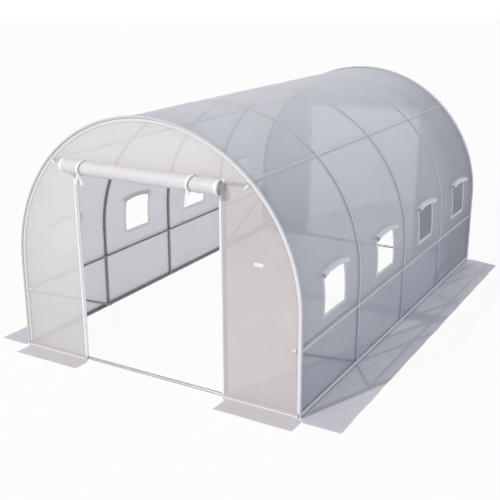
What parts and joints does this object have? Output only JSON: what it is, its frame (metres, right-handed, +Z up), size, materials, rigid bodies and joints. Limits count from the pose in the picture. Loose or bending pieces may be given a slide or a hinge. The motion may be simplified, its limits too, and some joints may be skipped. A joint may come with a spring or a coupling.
{
  "type": "polytunnel greenhouse",
  "caption": "Walk-in polytunnel with a round roof of translucent film on steel tube arches, roll-up doors in both ends and small windows along the sides.",
  "frame": {"origin": "on the ground, at the middle of the tunnel", "axes": "+X across the tunnel, +Y along it from the front end to the rear end, +Z up"},
  "size_m": [3.16, 4.4216, 2.0183],
  "materials": {
    "tube": "galvanised",
    "film": "milky translucent woven film",
    "trim": "white coated fabric",
    "tape": "white woven tape"
  },
  "bodies": {
    "root": {"front_arch": "tube", "second_arch": "tube", "middle_arch": "tube", "fourth_arch": "tube", "rear_arch": "tube", "left_side_purlin": "tube", "right_side_purlin": "tube", "left_shoulder_purlin": "tube", "right_shoulder_purlin": "tube", "left_ground_tube": "tube", "right_ground_tube": "tube", "front_sill_tube": "tube", "rear_sill_tube": "tube", "left_braces": "tube", "right_braces": "tube", "front_door_posts": "tube", "rear_door_posts": "tube", "front_header": "tube", "rear_header": "tube", "left_side_cover": "film", "roof_cover": "film", "right_side_cover": "film", "front_left_panel": "film", "front_right_panel": "film", "front_top_panel": "film", "rear_left_panel": "film", "rear_right_panel": "film", "rear_top_panel": "film", "left_window_1": "trim", "left_window_2": "trim", "left_window_3": "trim", "left_window_4": "trim", "right_window_1": "trim", "right_window_2": "trim", "right_window_3": "trim", "right_window_4": "trim", "front_door_roll": "film", "rear_door_roll": "film", "front_roll_ties": "tape", "rear_roll_ties": "tape", "left_skirt": "film", "right_skirt": "film", "front_skirts": "film", "rear_skirts": "film", "edging": "trim"}
  },
  "joints": []
}
